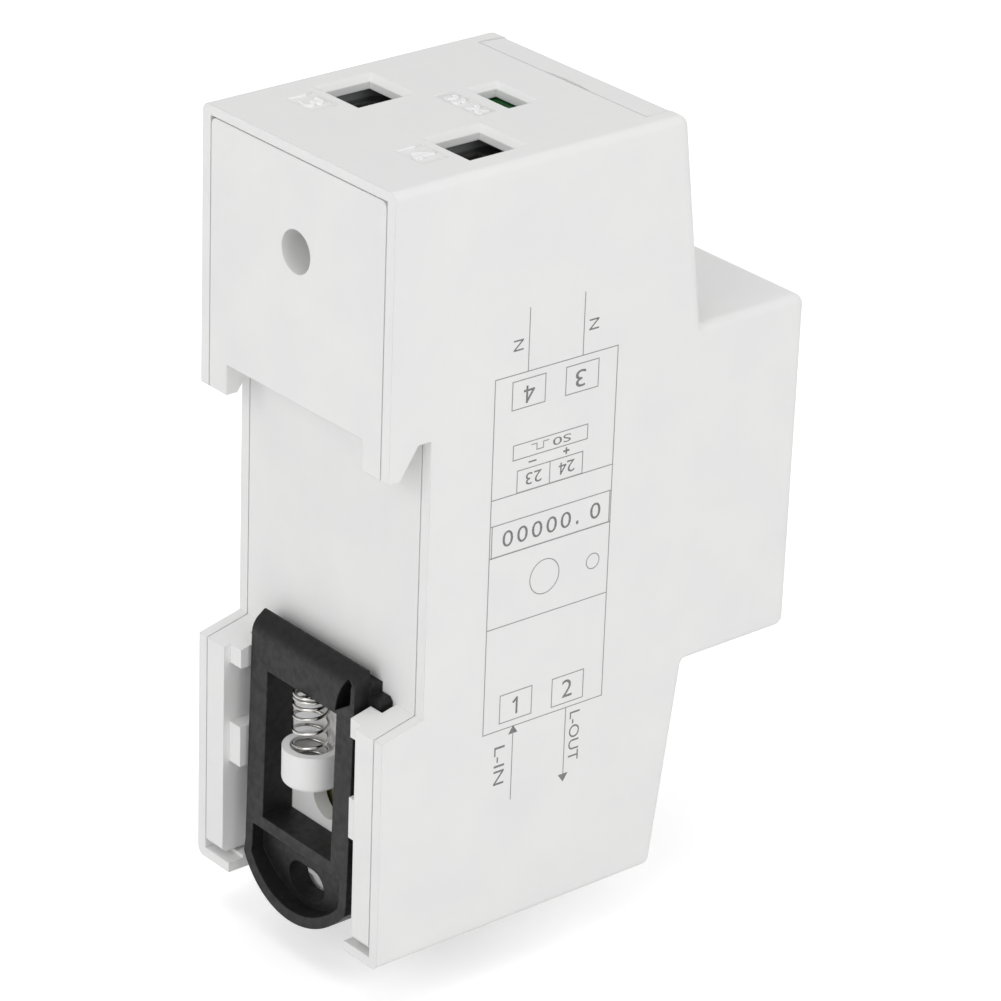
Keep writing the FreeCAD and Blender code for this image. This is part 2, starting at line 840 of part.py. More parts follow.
def clamp_screw(clamp, x):
    """The clamp screw with a cross recess in its head."""
    radius = clamp.screw_radius - screw_clearance
    tip = clamp.tongue_front - 0.05
    shank = rod_y(x, clamp.z, radius, clamp.head_y - 0.1, tip)
    tip_edges = []
    for edge in shank.Edges:
        if abs(edge.BoundBox.YMin - tip) < 0.001:
            tip_edges.append(edge)
    shank = shank.makeChamfer(radius * 0.3, tip_edges)
    head = rod_y(x, clamp.z, clamp.head_radius, clamp.head_front, clamp.head_y)
    solid = shank.fuse(head)
    long_half = clamp.head_radius * 0.7
    slim_half = clamp.head_radius * 0.14
    depth_y = clamp.head_front + (clamp.head_y - clamp.head_front) * 0.6
    for half_x, half_z in ((long_half, slim_half), (slim_half, long_half)):
        solid = solid.cut(block(x - half_x, x + half_x, clamp.head_front - 1, depth_y,
                                clamp.z - half_z, clamp.z + half_z))
    return solid


def clamp_pocket(clamp, x, top_z, front_y):
    """The room that a cage and its screw need in an insulating block."""
    gap = carrier_gap
    low_z = clamp.z - clamp.cage_z / 2 - gap
    room = block(x - clamp.cage_x / 2 - gap, x + clamp.cage_x / 2 + gap,
                 clamp.front_out - clamp.travel - gap, clamp.rear_out + gap, low_z, top_z)
    shank_hole = rod_y(x, clamp.z, clamp.screw_radius + gap, clamp.head_y - 1, clamp.rear_out)
    head_well = rod_y(x, clamp.z, clamp.head_radius + gap, front_y, clamp.head_y)
    return room.fuse([shank_hole, head_well])


def busbar_slot(x):
    """The slot that lets a tongue out of the carrier towards the middle."""
    half = tongue_width / 2 + carrier_gap
    return block(x - half, x + half, main_clamp.tongue_front - carrier_gap,
                 main_clamp.tongue_back + carrier_gap, carrier_root_z - 1, terminal_z)


def pulse_block_box(grow):
    """The outer box of the pulse terminal block, grown by a clearance."""
    half = pulse_pitch + pulse_block_side_wall + grow
    back = pulse_clamp.rear_out + pulse_block_wall + grow
    top_z = half_height - end_wall - carrier_gap - pulse_block_gap
    return block(pulse_x - half, pulse_x + half, carrier_front_y, back,
                 pulse_z - pulse_block_depth - grow, top_z + grow)


def carrier(with_pulse):
    """The insulating block that holds the clamps of one end."""
    side = inner_half_width - carrier_gap
    top_z = half_height - end_wall - carrier_gap
    solid = block(-side, side, carrier_front_y, main_board_y, carrier_root_z, top_z)
    for end in (-1, 1):
        solid = solid.cut(clamp_pocket(main_clamp, end * terminal_x, top_z + 1, carrier_front_y - 1))
        solid = solid.cut(busbar_slot(end * terminal_x))
    if with_pulse:
        solid = solid.cut(pulse_block_box(pulse_block_gap))
    return solid.removeSplitter()


def pulse_block():
    """The green two pole terminal block."""
    solid = pulse_block_box(0)
    top_z = half_height - end_wall
    for side in (-1, 1):
        x = pulse_x + side * pulse_pitch / 2
        pocket_top = pulse_z + pulse_clamp.cage_z / 2 + carrier_gap
        solid = solid.cut(clamp_pocket(pulse_clamp, x, pocket_top, carrier_front_y - 1))
        half = pulse_clamp.inner_x / 2
        solid = solid.cut(block(x - half, x + half, pulse_clamp.front_in, pulse_clamp.rear_in,
                                pulse_z, top_z + 1))
    return solid.removeSplitter()


def busbar_leg(x, end):
    """A tongue in a main clamp that runs towards the middle of the meter."""
    half = tongue_width / 2
    inner_z = crossbar_z + crossbar_width - overrun
    outer_z = terminal_z + main_clamp.cage_z / 2 - leg_end_gap
    return block(x - half, x + half, main_clamp.tongue_front, main_clamp.tongue_back,
                 end * inner_z, end * outer_z)


def neutral_bar():
    """The bar that joins the two neutral terminals at the top."""
    half = terminal_x + tongue_width / 2
    cross = block(-half, half, main_clamp.tongue_front, main_clamp.tongue_back,
                  crossbar_z, crossbar_z + crossbar_width)
    legs = [busbar_leg(-terminal_x, 1), busbar_leg(terminal_x, 1)]
    return cross.fuse(legs).removeSplitter()


def shunt_leg(side):
    """A copper leg from a line terminal to the resistive strip."""
    x_outer = side * (terminal_x + tongue_width / 2)
    cross = block(side * shunt_half_length, x_outer, main_clamp.tongue_front, main_clamp.tongue_back,
                  -crossbar_z - crossbar_width, -crossbar_z)
    return cross.fuse(busbar_leg(side * terminal_x, -1)).removeSplitter()


def shunt_element():
    """The resistive strip of the current shunt, between the two copper legs."""
    return block(-shunt_half_length, shunt_half_length,
                 main_clamp.tongue_front + shunt_recess, main_clamp.tongue_back - shunt_recess,
                 -crossbar_z - crossbar_width, -crossbar_z)


def pulse_contact(x):
    """The flat contact inside one pulse clamp."""
    half = pulse_clamp.tongue_width / 2
    return block(x - half, x + half, pulse_clamp.tongue_front, pulse_clamp.tongue_back,
                 pulse_z - pulse_clamp.cage_z / 2 - 0.15, pulse_z + pulse_clamp.cage_z / 2 - 0.4)


def main_pcb():
    """The board behind the base, which carries the clamps."""
    return block(-board_half_width, board_half_width, main_board_y, board_back_y,
                 -main_board_half_height, main_board_half_height)


def display_pcb():
    """The board behind the nose face."""
    return block(-board_half_width, board_half_width, display_board_front_y, display_board_y,
                 -display_board_half_height, display_board_half_height)


def link_pcb():
    """The board that joins the main and the display board."""
    return block(link_board_x, link_board_x + board_thickness, display_board_y, main_board_y,
                 -link_board_half_height, link_board_half_height)


def display_window():
    """The clear window set flush in the nose face."""
    side = display_half_width - window_gap
    return block(-side, side, nose_front_y, nose_front_y + window_thickness,
                 display_foot_z + window_gap, display_top_z - window_gap)


def lcd_frame():
    """The tray that holds the display glass on its board."""
    outer = display_half_width - tray_inset
    inner = outer - tray_wall
    tray = block(-outer, outer, tray_front_y, display_board_front_y,
                 display_foot_z - tray_wall + glass_gap, display_top_z + tray_wall - glass_gap)
    room = block(-inner, inner, tray_front_y - 1, tray_front_y + tray_depth,
                 display_foot_z + glass_gap, display_top_z - glass_gap)
    return tray.cut(room)


def lcd_glass():
    """The liquid crystal glass in its tray."""
    side = display_half_width - tray_inset - tray_wall - glass_gap
    return block(-side, side, tray_front_y + glass_gap, tray_front_y + tray_depth,
                 display_foot_z + 2 * glass_gap, display_top_z - 2 * glass_gap)


def display_button():
    """The round push button with its retaining flange."""
    radius = button_radius - button_gap
    inner_face = nose_front_y + wall
    cap = rod_y(button_x, front_row_z, radius, nose_front_y - button_proud, inner_face + 0.3)
    rim_edges = []
    for edge in cap.Edges:
        if abs(edge.BoundBox.YMax - (nose_front_y - button_proud)) < 0.001:
            rim_edges.append(edge)
    cap = cap.makeFillet(0.4, rim_edges)
    flange_front = inner_face + 0.1
    flange_back = flange_front + button_flange
    flange = rod_y(button_x, front_row_z, button_radius + 0.8, flange_front, flange_back)
    stem = rod_y(button_x, front_row_z, button_stem_radius, flange_front, flange_back + button_stem_length)
    return cap.fuse([flange, stem]).removeSplitter()


def button_switch():
    """The tact switch on the display board behind the button."""
    stem_end = nose_front_y + wall + 0.1 + button_flange + button_stem_length
    plunger_tip = stem_end + button_travel + 0.1
    half = switch_size / 2
    body = block(button_x - half, button_x + half, plunger_tip + 0.6, display_board_front_y,
                 front_row_z - half, front_row_z + half)
    plunger = rod_y(button_x, front_row_z, button_stem_radius + 0.2, plunger_tip, plunger_tip + 0.8)
    return body.fuse(plunger)


def led_light_pipe():
    """The clear rod that brings the pulse lamp's light to the face."""
    inner_face = nose_front_y + wall
    end_y = display_board_front_y - lamp_height - 0.1
    rod = rod_y(pulse_lamp_x, front_row_z, lamp_radius, nose_front_y - 0.3, end_y)
    collar = rod_y(pulse_lamp_x, front_row_z, lamp_radius + 0.8, inner_face + 0.05, inner_face + 0.8)
    return rod.fuse(collar).removeSplitter()


def pulse_led():
    """The lamp on the display board."""
    half = lamp_size / 2
    return block(pulse_lamp_x - half, pulse_lamp_x + half, display_board_front_y - lamp_height,
                 display_board_front_y, front_row_z - half / 2, front_row_z + half / 2)


def film_capacitor():
    """The mains dropper capacitor on the main board."""
    left = -board_half_width + 2.0
    box = block(left, left + capacitor_length, main_board_y - capacitor_height, main_board_y,
                capacitor_foot_z, capacitor_foot_z + capacitor_depth)
    upright = []
    for edge in box.Edges:
        if edge.BoundBox.YLength > capacitor_height - 0.01:
            upright.append(edge)
    return box.makeFillet(0.6, upright)


def bulk_capacitor():
    """The round smoothing capacitor on the main board."""
    return rod_y(can_x, parts_row_z, can_radius, main_board_y - can_height, main_board_y)


def varistor():
    """The surge disc on the main board."""
    return rod_z(can_x + 0.5, main_board_y - varistor_radius, varistor_radius,
                 varistor_foot_z, varistor_foot_z + varistor_thickness)


def choke():
    """The wound filter choke on the main board."""
    waist_front = main_board_y - choke_height + choke_rim
    waist_back = main_board_y - choke_rim
    drum = rod_y(choke_x, parts_row_z - 1.0, choke_radius, main_board_y - choke_height, main_board_y)
    waist = rod_y(choke_x, parts_row_z - 1.0, choke_radius + 1.0, waist_front, waist_back)
    neck = rod_y(choke_x, parts_row_z - 1.0, choke_neck_radius, waist_front, waist_back)
    return drum.cut(waist).fuse(neck).removeSplitter()


def metering_chip():
    """The metering circuit on the main board."""
    half = chip_size / 2
    return block(chip_x - half, chip_x + half, main_board_y - chip_height, main_board_y,
                 chip_z - half, chip_z + half)


def processor_chip():
    """The processor on the link board."""
    half = processor_size / 2
    return block(link_board_x - chip_height, link_board_x, processor_y - half, processor_y + half,
                 -half, half)


def crystal():
    """The clock crystal on the link board."""
    half = processor_size / 2
    return block(link_board_x - crystal_height, link_board_x,
                 crystal_y - crystal_width / 2, crystal_y + crystal_width / 2, -half, half)


def optocoupler():
    """The isolating coupler of the pulse output, on the main board."""
    half = coupler_width / 2
    middle_x = link_board_x - coupler_gap
    return block(middle_x - half, middle_x + half, main_board_y - coupler_height, main_board_y,
                 coupler_foot_z, coupler_foot_z + coupler_length)


def build_clamps():
    """All main and pulse clamps, one cage and one screw each."""
    places = ((1, -terminal_x, -1), (2, terminal_x, -1), (3, terminal_x, 1), (4, -terminal_x, 1))
    for number, x, end in places:
        cage = clamp_cage(main_clamp, x)
        screw = clamp_screw(main_clamp, x)
        if end < 0:
            cage = flip_z(cage)
            screw = flip_z(screw)
        save("clamp_cage_%d" % number, cage)
        save("clamp_screw_%d" % number, screw)
    for number, side in ((23, -1), (24, 1)):
        x = pulse_x + side * pulse_pitch / 2
        save("pulse_cage_%d" % number, clamp_cage(pulse_clamp, x))
        save("pulse_screw_%d" % number, clamp_screw(pulse_clamp, x))
        save("pulse_contact_%d" % number, pulse_contact(x))


save("housing_shell", housing_shell())
save("rear_base", rear_base())
save("din_clip", din_clip())
save("clip_spring", clip_spring())
save("upper_cover", terminal_cover(True))
save("lower_cover", flip_z(terminal_cover(False)))
save("upper_carrier", carrier(True))
save("lower_carrier", flip_z(carrier(False)))
save("pulse_block", pulse_block())
build_clamps()
save("neutral_bar", neutral_bar())
save("shunt_leg_in", shunt_leg(-1))
save("shunt_leg_out", shunt_leg(1))
save("shunt_element", shunt_element())
save("main_pcb", main_pcb())
save("display_pcb", display_pcb())
save("link_pcb", link_pcb())
save("display_window", display_window())
save("lcd_frame", lcd_frame())
save("lcd_glass", lcd_glass())
save("display_button", display_button())
save("button_switch", button_switch())
save("led_light_pipe", led_light_pipe())
save("pulse_led", pulse_led())
save("film_capacitor", film_capacitor())
save("bulk_capacitor", bulk_capacitor())
save("varistor", varistor())
save("choke", choke())
save("metering_chip", metering_chip())
save("processor_chip", processor_chip())
save("crystal", crystal())
save("optocoupler", optocoupler())
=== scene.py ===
import json
import math

import bmesh
import bpy
from mathutils import Matrix, Vector

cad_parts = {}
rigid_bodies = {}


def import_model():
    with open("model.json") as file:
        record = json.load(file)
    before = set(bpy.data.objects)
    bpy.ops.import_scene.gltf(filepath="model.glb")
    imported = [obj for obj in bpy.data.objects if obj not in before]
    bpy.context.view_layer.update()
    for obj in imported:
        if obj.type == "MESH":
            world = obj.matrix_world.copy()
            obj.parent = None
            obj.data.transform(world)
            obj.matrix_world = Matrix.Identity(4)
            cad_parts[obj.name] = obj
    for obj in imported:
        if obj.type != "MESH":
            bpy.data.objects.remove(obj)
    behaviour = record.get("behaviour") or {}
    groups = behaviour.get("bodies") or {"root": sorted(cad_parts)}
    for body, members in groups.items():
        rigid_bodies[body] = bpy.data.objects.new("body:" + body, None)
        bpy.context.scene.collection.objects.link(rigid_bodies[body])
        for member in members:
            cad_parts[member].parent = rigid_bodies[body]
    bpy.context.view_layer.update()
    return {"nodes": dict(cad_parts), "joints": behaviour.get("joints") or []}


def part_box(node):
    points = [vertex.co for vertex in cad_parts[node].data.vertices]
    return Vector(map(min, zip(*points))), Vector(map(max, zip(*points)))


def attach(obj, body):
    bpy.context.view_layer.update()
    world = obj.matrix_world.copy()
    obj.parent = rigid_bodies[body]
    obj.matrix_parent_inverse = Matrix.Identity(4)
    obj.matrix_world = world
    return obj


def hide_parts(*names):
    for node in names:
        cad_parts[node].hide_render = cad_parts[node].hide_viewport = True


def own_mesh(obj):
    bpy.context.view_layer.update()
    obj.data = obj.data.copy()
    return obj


for start_object in list(bpy.data.objects):
    bpy.data.objects.remove(start_object)
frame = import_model()

# Places on the meter, in metres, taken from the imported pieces
MM = 0.001
shell_low, shell_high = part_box("housing_shell")
spring_low, spring_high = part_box("clip_spring")
glass_low, glass_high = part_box("lcd_glass")
side_x = shell_low.x
top_z = shell_high.z
catch_joint = next(joint for joint in frame["joints"] if joint["name"] == "catch_slide")
catch_travel = catch_joint["range_m"][1]
# The floor lies just under the lowest place that the rail catch reaches
floor_gap = 0.1 * MM
floor_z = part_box("din_clip")[0].z - catch_travel - floor_gap


# Tools for materials
def hex_colour(code):
    """An sRGB hex value as linear red, green, blue and alpha."""
    channels = []
    for i in (1, 3, 5):
        value = int(code[i:i + 2], 16) / 255
        channels.append(value / 12.92 if value <= 0.04045 else ((value + 0.055) / 1.055) ** 2.4)
    return channels + [1.0]


def empty_tree(owner):
    """The node tree of a new material or world, with nothing in it."""
    owner.use_nodes = True
    owner.node_tree.nodes.clear()
    return owner.node_tree


def add_node(tree, kind, inputs=None, **settings):
    """Add a shader node, set its values and link the sockets given in inputs."""
    made = tree.nodes.new(kind)
    for name, value in settings.items():
        setattr(made, name, value)
    for name, value in (inputs or {}).items():
        if isinstance(value, bpy.types.NodeSocket):
            tree.links.new(value, made.inputs[name])
        else:
            made.inputs[name].default_value = value
    return made


def new_material(name):
    """An empty material with its tree, its Object coordinates and its shader."""
    material = bpy.data.materials.new(name)
    tree = empty_tree(material)
    place = add_node(tree, "ShaderNodeTexCoord").outputs["Object"]
    shader = add_node(tree, "ShaderNodeBsdfPrincipled")
    add_node(tree, "ShaderNodeOutputMaterial", {"Surface": shader.outputs[0]})
    return material, tree, place, shader


def per_metre(size_mm):
    """The texture scale that gives features of this size."""
    return 1 / (size_mm * MM)


def noise(tree, place, size_mm, detail):
    """The outputs of a soft noise with features of this size."""
    return add_node(tree, "ShaderNodeTexNoise",
                    {"Vector": place, "Scale": per_metre(size_mm), "Detail": detail}).outputs


def two_colours(tree, shader, factor, low_code, high_code, low=0.0, high=1.0):
    """Colour a shader from one hex value to another between two levels of a factor."""
    ramp = add_node(tree, "ShaderNodeValToRGB", {"Fac": factor})
    ends = ramp.color_ramp.elements
    ends[0].position = low
    ends[0].color = hex_colour(low_code)
    ends[1].position = high
    ends[1].color = hex_colour(high_code)
    tree.links.new(ramp.outputs["Color"], shader.inputs["Base Color"])


def relief(tree, shader, height, depth_mm, edge_mm=None):
    """Give a shader a fine relief, over edges that are rounded where a radius is given."""
    inputs = {"Height": height, "Distance": depth_mm * MM}
    if edge_mm:
        edge = add_node(tree, "ShaderNodeBevel", {"Radius": edge_mm * MM}, samples=4)
        inputs["Normal"] = edge.outputs["Normal"]
    bump = add_node(tree, "ShaderNodeBump", inputs)
    tree.links.new(bump.outputs["Normal"], shader.inputs["Normal"])


def moulded(name, dark, light, roughness, grain_mm, grain_depth_mm, edge_mm,
            cloud_mm=9.0, gloss=0.5, swing=0.05):
    """A plastic moulding: its colour and sheen drift with the melt's flow over an even tool grain."""
    # The levels of the cloud that the two colours and the sheen are spread between
    low, high = 0.3, 0.7
    plastic_ior = 1.53
    material, tree, place, shader = new_material(name)
    cloud = noise(tree, place, cloud_mm, 3.0)["Fac"]
    two_colours(tree, shader, cloud, dark, light, low, high)
    sheen = add_node(tree, "ShaderNodeMapRange",
                     {"Value": cloud, "From Min": low, "From Max": high,
                      "To Min": roughness + swing, "To Max": roughness - swing})
    tree.links.new(sheen.outputs["Result"], shader.inputs["Roughness"])
    grain = noise(tree, place, grain_mm, 2.0)["Fac"]
    relief(tree, shader, grain, grain_depth_mm, edge_mm)
    shader.inputs["IOR"].default_value = plastic_ior
    shader.inputs["Specular IOR Level"].default_value = gloss
    return material


def metal(name, dark, light, roughness, line_mm, stretch):
    """A bare or plated metal: fine lines from rolling or drawing, and a faint cloud of tarnish."""
    tarnish_mm = 2.5
    line_depth_mm = 0.004
    edge_mm = 0.05
    # How far the lines move the roughness up and down, as a share of it
    polish = 0.3
    material, tree, place, shader = new_material(name)
    tarnish = noise(tree, place, tarnish_mm, 4.0)["Fac"]
    two_colours(tree, shader, tarnish, dark, light, 0.35, 0.65)
    drawn = add_node(tree, "ShaderNodeMapping", {"Vector": place, "Scale": stretch})
    lines = noise(tree, drawn.outputs["Vector"], line_mm, 3.0)["Fac"]
    sheen = add_node(tree, "ShaderNodeMapRange",
                     {"Value": lines, "To Min": roughness * (1 - polish),
                      "To Max": roughness * (1 + polish)})
    tree.links.new(sheen.outputs["Result"], shader.inputs["Roughness"])
    relief(tree, shader, lines, line_depth_mm, edge_mm)
    shader.inputs["Metallic"].default_value = 1.0
    return material


# ABS and polycarbonate blend, injection moulded in a spark eroded tool: a matt, slightly soft white.
# The tool's grain is about 0.05 mm and is drawn at 0.22 mm, so that it shows at all.
housing_white = moulded("spark_grained_white_abs", "#E3E3E3", "#E6E6E5", 0.52, 0.22, 0.004, 0.16)
base_white = moulded("spark_grained_white_base", "#E2E2E2", "#E6E6E5", 0.55, 0.22, 0.004, 0.16)
# The raised numbers are the housing's plastic, coloured whiter as a painted highlight where their tops
# catch the lamp, and a little smoother than the grained plate.
numbers_painted_highlight_white = moulded("white_numbers_painted_highlight", "#F3F3F3", "#F7F7F7", 0.35, 0.3, 0.002, 0.05)
# Glass filled nylon, moulded black: satin, with small flow clouds in its sheen.
catch_black = moulded("satin_black_nylon", "#141414", "#202020", 0.46, 0.22, 0.02, 0.22,
                      cloud_mm=1.0, gloss=0.26, swing=0.08)
# Grey flame retardant polyamide of the inner carriers, duller than the housing.
carrier_grey = moulded("dull_grey_polyamide", "#7D7F80", "#8A8C8D", 0.6, 0.3, 0.006, 0.1)
# Green polyamide of a pluggable terminal block.
terminal_green = moulded("green_polyamide", "#1D5A2B", "#286B36", 0.45, 0.25, 0.004, 0.08)
# Grey push button, moulded smooth and worn a little glossy.
button_grey = moulded("smooth_grey_button", "#A9ABAD", "#B3B5B7", 0.38, 0.2, 0.002, 0.12)
# Black epoxy of chip packages: matt, with the grain of the moulding compound.
epoxy_black = moulded("black_epoxy_package", "#17181A", "#222326", 0.55, 0.12, 0.004, 0.05,
                      cloud_mm=2.0)
# Polypropylene capacitor case, moulded yellow and smooth.
capacitor_yellow = moulded("yellow_capacitor_case", "#C9A227", "#D3AE37", 0.35, 0.3, 0.002, 0.1)
# Epoxy dipped varistor: blue, thick and slightly uneven.
varistor_blue = moulded("dipped_blue_epoxy", "#1B3F86", "#24509C", 0.28, 1.4, 0.03, 0.2, cloud_mm=4.0)
# Sintered ferrite: dark grey and very fine grained.
ferrite_grey = moulded("sintered_ferrite", "#2B2C2E", "#37383A", 0.62, 0.1, 0.006, 0.08, cloud_mm=2.0)
# Milky silicone of a small lamp, not lit.
lamp_white = moulded("milky_lamp_body", "#DAD9CF", "#E4E3DA", 0.3, 0.3, 0.002, 0.1, cloud_mm=1.0)

# Stainless spring wire, drawn bright: fine lines run along the wire.
spring_steel = metal("drawn_stainless_wire", "#A8A6A2", "#E2E0DC", 0.12, 0.06, (1.0, 1.0, 6.0))
# Zinc plated steel of the rising cages, stamped and tumbled.
cage_zinc = metal("zinc_plated_cage", "#8F9090", "#A9AAA8", 0.38, 0.12, (1.0, 1.0, 0.2))
# Nickel plated screws, turned: brighter than the cages.
screw_nickel = metal("nickel_plated_screw", "#A7A49C", "#C4C1B8", 0.28, 0.1, (1.0, 6.0, 1.0))
# Rolled copper busbar under a dull tin plating.
busbar_tin = metal("tin_plated_copper", "#8E8B86", "#A9A6A0", 0.36, 0.15, (1.0, 1.0, 0.1))
# Bent contact strip of the pulse output, phosphor bronze left bare.
contact_bronze = metal("phosphor_bronze", "#A5713F", "#C08E58", 0.3, 0.1, (1.0, 1.0, 0.1))
# Rolled resistance strip of the shunt, copper with manganese: duller and redder than the tinned legs.
shunt_alloy = metal("rolled_copper_manganese", "#7D6A5C", "#94806F", 0.4, 0.15, (0.1, 1.0, 1.0))
# Drawn aluminium can.
can_aluminium = metal("drawn_aluminium_can", "#A8AAAD", "#C2C4C6", 0.3, 0.15, (1.0, 0.1, 1.0))


def circuit_board():
    """Glass epoxy board under olive solder mask, with the raised lines of its copper tracks."""
    track_mm = 3.2
    track_stretch = (1.0, 1.0, 0.6)
    line_share = 0.06
    track_height_mm = 0.03
    weave_mm = 0.4
    weave_strength = 0.25
    material, tree, place, shader = new_material("olive_solder_mask")
    stretched = add_node(tree, "ShaderNodeMapping", {"Vector": place, "Scale": track_stretch})
    tracks = add_node(tree, "ShaderNodeTexBrick",
                      {"Vector": stretched.outputs["Vector"], "Scale": per_metre(track_mm),
                       "Mortar Size": line_share, "Mortar": hex_colour("#8B8A62"),
                       "Color1": hex_colour("#6F6E45"), "Color2": hex_colour("#77764D")}).outputs
    weave = noise(tree, place, weave_mm, 2.0)
    tint = add_node(tree, "ShaderNodeMix",
                    {"Factor": weave_strength, "A": tracks["Color"], "B": weave["Color"]},
                    data_type="RGBA", blend_type="SOFT_LIGHT")
    tree.links.new(tint.outputs["Result"], shader.inputs["Base Color"])
    relief(tree, shader, tracks["Fac"], track_height_mm)
    shader.inputs["Roughness"].default_value = 0.35
    shader.inputs["Coat Weight"].default_value = 0.3
    return material


def clear_plastic(name, tint, roughness):
    """A clear moulded part with faint ripples from the tool."""
    ripple_mm = 6.0
    ripple_height_mm = 0.01
    haze_swing = 0.06
    polycarbonate_ior = 1.58
    material, tree, place, shader = new_material(name)
    ripple = noise(tree, place, ripple_mm, 1.0)["Fac"]
    haze = add_node(tree, "ShaderNodeMapRange",
                    {"Value": ripple, "To Min": roughness, "To Max": roughness + haze_swing})
    tree.links.new(haze.outputs["Result"], shader.inputs["Roughness"])
    relief(tree, shader, ripple, ripple_height_mm)
    shader.inputs["Base Color"].default_value = hex_colour(tint)
    shader.inputs["Transmission Weight"].default_value = 1.0
    shader.inputs["IOR"].default_value = polycarbonate_ior
    return material


def display_glass_material():
    """Reflective liquid crystal glass: grey green under a gloss, with the grain of its polariser."""
    grain_mm = 0.15
    grain_height_mm = 0.002
    material, tree, place, shader = new_material("reflective_lcd_glass")
    film = noise(tree, place, grain_mm, 2.0)["Fac"]
    two_colours(tree, shader, film, "#87917F", "#98A290")
    relief(tree, shader, film, grain_height_mm)
    shader.inputs["Roughness"].default_value = 0.3
    shader.inputs["Coat Weight"].default_value = 1.0
    shader.inputs["Coat Roughness"].default_value = 0.03
    return material


def ink_material(name, full, worn="#A8A8A8"):
    """Pad printed ink: thin, with tiny pinholes where the grain of the housing comes through."""
    pinhole_mm = 0.12
    pinhole_depth_mm = 0.003
    material, tree, place, shader = new_material(name)
    speck = noise(tree, place, pinhole_mm, 2.0)["Fac"]
    two_colours(tree, shader, speck, full, worn, 0.35, 0.8)
    relief(tree, shader, speck, pinhole_depth_mm)
    shader.inputs["Roughness"].default_value = 0.5
    return material


board_olive = circuit_board()
window_clear = clear_plastic("clear_polycarbonate", "#F2F6F7", 0.04)
pipe_clear = clear_plastic("clear_light_pipe", "#F6EDEC", 0.12)
display_glass = display_glass_material()
# Grey pad printing ink: the thin lines let more of the white through than the filled letters.
line_ink = ink_material("printed_line_ink", "#858585")
text_ink = ink_material("printed_text_ink", "#484848")
# The display's resting segments, a shade darker than its glass.
segment_grey = ink_material("resting_lcd_segments", "#66705F", worn="#727C6B")

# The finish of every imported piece, by its name or by its kind
finish_of = {
    "housing_shell": housing_white,
    "upper_cover": housing_white,
    "lower_cover": housing_white,
    "rear_base": base_white,
    "din_clip": catch_black,
    "clip_spring": spring_steel,
    "upper_carrier": carrier_grey,
    "lower_carrier": carrier_grey,
    "lcd_frame": carrier_grey,
    "pulse_block": terminal_green,
    "neutral_bar": busbar_tin,
    "shunt_leg_in": busbar_tin,
    "shunt_leg_out": busbar_tin,
    "shunt_element": shunt_alloy,
    "main_pcb": board_olive,
    "display_pcb": board_olive,
    "link_pcb": board_olive,
    "display_window": window_clear,
    "led_light_pipe": pipe_clear,
    "lcd_glass": display_glass,
    "display_button": button_grey,
    "button_switch": epoxy_black,
    "pulse_led": lamp_white,
    "film_capacitor": capacitor_yellow,
    "bulk_capacitor": can_aluminium,
    "varistor": varistor_blue,
    "choke": ferrite_grey,
    "metering_chip": epoxy_black,
    "processor_chip": epoxy_black,
    "optocoupler": epoxy_black,
    "crystal": can_aluminium,
}
finish_of_kind = {"_cage_": cage_zinc, "_screw_": screw_nickel, "_contact_": contact_bronze}
for name, node in frame["nodes"].items():
    if name in finish_of:
        node.material_slots[0].material = finish_of[name]
    else:
        kind = next(kind for kind in finish_of_kind if kind in name)
        node.material_slots[0].material = finish_of_kind[kind]


# Pieces that are modelled here
def finish_piece(name, mesh_builder, finish, body, smooth=False):
    """Turn a bmesh into a piece of the meter that rides on a body."""
    weld_distance = 1e-8
    mesh = bpy.data.meshes.new(name)
    bmesh.ops.remove_doubles(mesh_builder, verts=mesh_builder.verts, dist=weld_distance)
    bmesh.ops.recalc_face_normals(mesh_builder, faces=mesh_builder.faces)
    mesh_builder.to_mesh(mesh)
    mesh_builder.free()
    for polygon in mesh.polygons:
        polygon.use_smooth = smooth
    piece = bpy.data.objects.new(name, mesh)
    bpy.context.scene.collection.objects.link(piece)
    mesh.materials.append(finish)
    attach(piece, body)
    return piece


def catch_spring():
    """The catch's compression spring: closed coils at both ends and open ones between."""
    wire_radius = 0.21 * MM
    wire_sides = 14
    steps_per_turn = 40
    # The photograph shows the spring leaning against the rear of its cup
    lean = 0.2 * MM
    # The turns of each stretch with the share of the rise that one of them takes, from the foot up
    stretches = [(1.25, 1.0), (1.25, 3.0), (3.25, 3.9), (1.5, 1.9), (1.25, 1.0)]
    coil_radius = (spring_high.x - spring_low.x) / 2 - wire_radius
    middle = Vector(((spring_low.x + spring_high.x) / 2, (spring_low.y + spring_high.y) / 2 + lean, 0))
    height = spring_high.z - spring_low.z
    rise = (height - 2 * wire_radius) / sum(turns * share for turns, share in stretches)
    builder = bmesh.new()
    ring = bmesh.ops.create_circle(builder, cap_ends=True, segments=wire_sides, radius=wire_radius)
    turn = Matrix.Rotation(math.pi / 2, 4, "X")
    shift = Matrix.Translation(middle + Vector((coil_radius, 0, spring_low.z + wire_radius)))
    bmesh.ops.transform(builder, matrix=shift @ turn, verts=ring["verts"])
    last = builder.faces[:] + builder.edges[:] + builder.verts[:]
    for turns, share in stretches:
        steps = round(turns * steps_per_turn)
        made = bmesh.ops.spin(builder, geom=last, cent=middle, axis=(0, 0, 1),
                              angle=2 * math.pi * turns, dvec=(0, 0, rise * share * turns / steps),
                              steps=steps, use_merge=False)
        last = made["geom_last"]
    piece = finish_piece("catch_spring", builder, spring_steel, "housing", smooth=True)
    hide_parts("clip_spring")
    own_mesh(piece)


# Print and raised numbers: places and sizes in mm in a plane, and each form is a thin solid
ink_thickness = 0.012
line_width = 0.13


